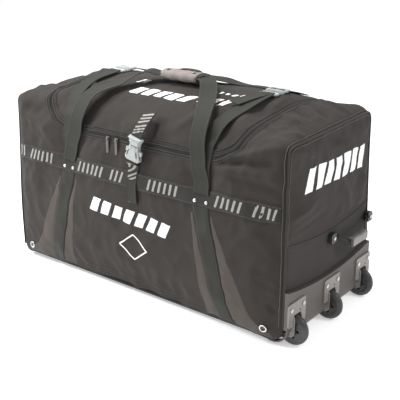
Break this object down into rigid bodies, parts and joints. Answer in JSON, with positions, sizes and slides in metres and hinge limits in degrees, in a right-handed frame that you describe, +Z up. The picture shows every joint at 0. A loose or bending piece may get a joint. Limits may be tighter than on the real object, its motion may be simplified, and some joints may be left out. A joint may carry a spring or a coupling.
{
  "type": "wheeled hockey equipment bag",
  "caption": "Large box-shaped cloth equipment bag with a zipped domed lid, webbing haul handles, buckled straps and inline wheels at one end.",
  "frame": {"origin": "on the ground under the middle of the bag, on the underside of the centre skid runner", "axes": "+X towards the wheel end, -Y the front with the zip and centre buckle, +Z up"},
  "size_m": [1.0724, 0.4919, 0.643],
  "materials": {
    "shell_cloth": "heavy coated nylon cloth",
    "dark_cloth": "plain dark nylon cloth",
    "insert_cloth": "lighter grey cloth inserts",
    "webbing": "ribbed nylon webbing",
    "band_webbing": "woven band with a plain repeated stripe pattern",
    "zip_cloth": "woven zip tape",
    "piping": "corded piping",
    "board": "stiff base board",
    "kick_plastic": "moulded grey plastic",
    "housing_plastic": "moulded light grey plastic",
    "buckle_plastic": "pale grey acetal",
    "black_plastic": "black plastic",
    "tyre_rubber": "dark polyurethane tread",
    "hub_plastic": "hub",
    "steel": "plated steel",
    "nickel": "nickel plate",
    "grip_cloth": "brown-grey padded cloth"
  },
  "bodies": {
    "bag_body": {"front_panel": "shell_cloth", "rear_panel": "shell_cloth", "left_end_panel": "shell_cloth", "wheel_end_panel": "shell_cloth", "top_gusset_left": "shell_cloth", "top_gusset_right": "shell_cloth", "base_panel": "dark_cloth", "base_board": "board", "body_zip_tape": "zip_cloth", "front_band": "band_webbing", "rear_band": "band_webbing", "sewn_straps": "webbing", "strap_rivets": "nickel", "grommets": "nickel", "front_inserts": "insert_cloth", "left_end_piping": "piping", "wheel_end_piping": "piping", "end_patch": "shell_cloth", "kick_panel": "kick_plastic", "front_wheel_housing": "housing_plastic", "middle_wheel_housing": "housing_plastic", "rear_wheel_housing": "housing_plastic", "wheel_axles": "steel", "end_screws": "steel", "handle_anchors": "black_plastic", "skid_runners": "black_plastic", "centre_buckle_female": "buckle_plastic", "centre_strap_lower": "webbing"},
    "lid": {"lid_panel": "shell_cloth", "lid_zip_tape": "zip_cloth", "centre_strap_upper": "webbing", "centre_buckle_male": "buckle_plastic", "pad_straps_rear": "webbing", "pad_buckle_females": "buckle_plastic"},
    "front_handle": {"front_handle_webbing": "webbing", "grip_wrap": "grip_cloth", "grip_snaps": "nickel"},
    "rear_handle": {"rear_handle_webbing": "webbing", "rear_handle_fold": "webbing"},
    "pad_strap_left": {"pad_strap_front_left": "webbing", "pad_buckle_male_left": "buckle_plastic"},
    "pad_strap_right": {"pad_strap_front_right": "webbing", "pad_buckle_male_right": "buckle_plastic"},
    "end_handle": {"end_handle_strap": "webbing", "end_handle_grip": "buckle_plastic"},
    "front_wheel": {"front_tyre": "tyre_rubber", "front_hub": "hub_plastic", "front_bearings": "steel"},
    "middle_wheel": {"middle_tyre": "tyre_rubber", "middle_hub": "hub_plastic", "middle_bearings": "steel"},
    "rear_wheel": {"rear_tyre": "tyre_rubber", "rear_hub": "hub_plastic", "rear_bearings": "steel"},
    "zip_slider_left": {"zip_slider_left": "nickel"},
    "zip_pull_left": {"zip_pull_left": "black_plastic"},
    "zip_slider_right": {"zip_slider_right": "nickel"},
    "zip_pull_right": {"zip_pull_right": "black_plastic"},
    "release_arm_left": {"release_arm_left": "buckle_plastic"},
    "release_arm_right": {"release_arm_right": "buckle_plastic"}
  },
  "joints": [
    {"name": "lid_hinge", "type": "hinge", "parent": "bag_body", "child": "lid", "pos_m": [0, 0.216, 0.545], "axis": [-1, 0, 0], "range_deg": [0, 105], "deforming": ["centre_strap_upper", "centre_buckle_male", "release_arm_left", "release_arm_right", "front_handle_webbing", "rear_handle_webbing", "pad_strap_front_left", "pad_strap_front_right"]},
    {"name": "front_handle_fold", "type": "hinge", "parent": "bag_body", "child": "front_handle", "pos_m": [0, -0.235, 0.376], "axis": [1, 0, 0], "range_deg": [0, 173.25]},
    {"name": "rear_handle_fold", "type": "hinge", "parent": "bag_body", "child": "rear_handle", "pos_m": [0, 0.235, 0.376], "axis": [-1, 0, 0], "range_deg": [0, 173.25]},
    {"name": "pad_strap_left_fold", "type": "hinge", "parent": "bag_body", "child": "pad_strap_left", "pos_m": [0, -0.235, 0.376], "axis": [1, 0, 0], "range_deg": [0, 173.25]},
    {"name": "pad_strap_right_fold", "type": "hinge", "parent": "bag_body", "child": "pad_strap_right", "pos_m": [0, -0.235, 0.376], "axis": [1, 0, 0], "range_deg": [0, 173.25]},
    {"name": "front_wheel_spin", "type": "hinge", "parent": "bag_body", "child": "front_wheel", "pos_m": [0.514, -0.183, 0.045], "axis": [0, 1, 0], "continuous": true},
    {"name": "middle_wheel_spin", "type": "hinge", "parent": "bag_body", "child": "middle_wheel", "pos_m": [0.514, 0, 0.045], "axis": [0, 1, 0], "continuous": true},
    {"name": "rear_wheel_spin", "type": "hinge", "parent": "bag_body", "child": "rear_wheel", "pos_m": [0.514, 0.183, 0.045], "axis": [0, 1, 0], "continuous": true},
    {"name": "zip_slide_left", "type": "slide", "parent": "bag_body", "child": "zip_slider_left", "axis": [-1, 0, 0], "range_m": [0, 0.158]},
    {"name": "zip_pull_swing_left", "type": "hinge", "parent": "zip_slider_left", "child": "zip_pull_left", "pos_m": [-0.092, -0.2344, 0.468], "axis": [-1, 0, 0], "range_deg": [0, 150]},
    {"name": "zip_slide_right", "type": "slide", "parent": "bag_body", "child": "zip_slider_right", "axis": [1, 0, 0], "range_m": [0, 0.308]},
    {"name": "zip_pull_swing_right", "type": "hinge", "parent": "zip_slider_right", "child": "zip_pull_right", "pos_m": [-0.058, -0.2344, 0.468], "axis": [-1, 0, 0], "range_deg": [0, 150]},
    {"name": "release_press_left", "type": "slide", "parent": "lid", "child": "release_arm_left", "axis": [0.9781, 0, -0.2079], "range_m": [0, 0.003], "stiffness_N_per_m": 300},
    {"name": "release_press_right", "type": "slide", "parent": "lid", "child": "release_arm_right", "axis": [-0.9781, 0, 0.2079], "range_m": [0, 0.003], "stiffness_N_per_m": 300},
    {"name": "end_handle_swing", "type": "hinge", "parent": "bag_body", "child": "end_handle", "pos_m": [0.518, 0.102, 0.246], "axis": [0, -1, 0], "range_deg": [0, 115]}
  ],
  "couplings": [
    {"joint": "front_handle_fold", "follows": "lid_hinge", "ratio": 1.65},
    {"joint": "rear_handle_fold", "follows": "lid_hinge", "ratio": 1.65},
    {"joint": "pad_strap_left_fold", "follows": "lid_hinge", "ratio": 1.65},
    {"joint": "pad_strap_right_fold", "follows": "lid_hinge", "ratio": 1.65},
    {"joint": "release_press_right", "follows": "release_press_left", "ratio": 1}
  ]
}
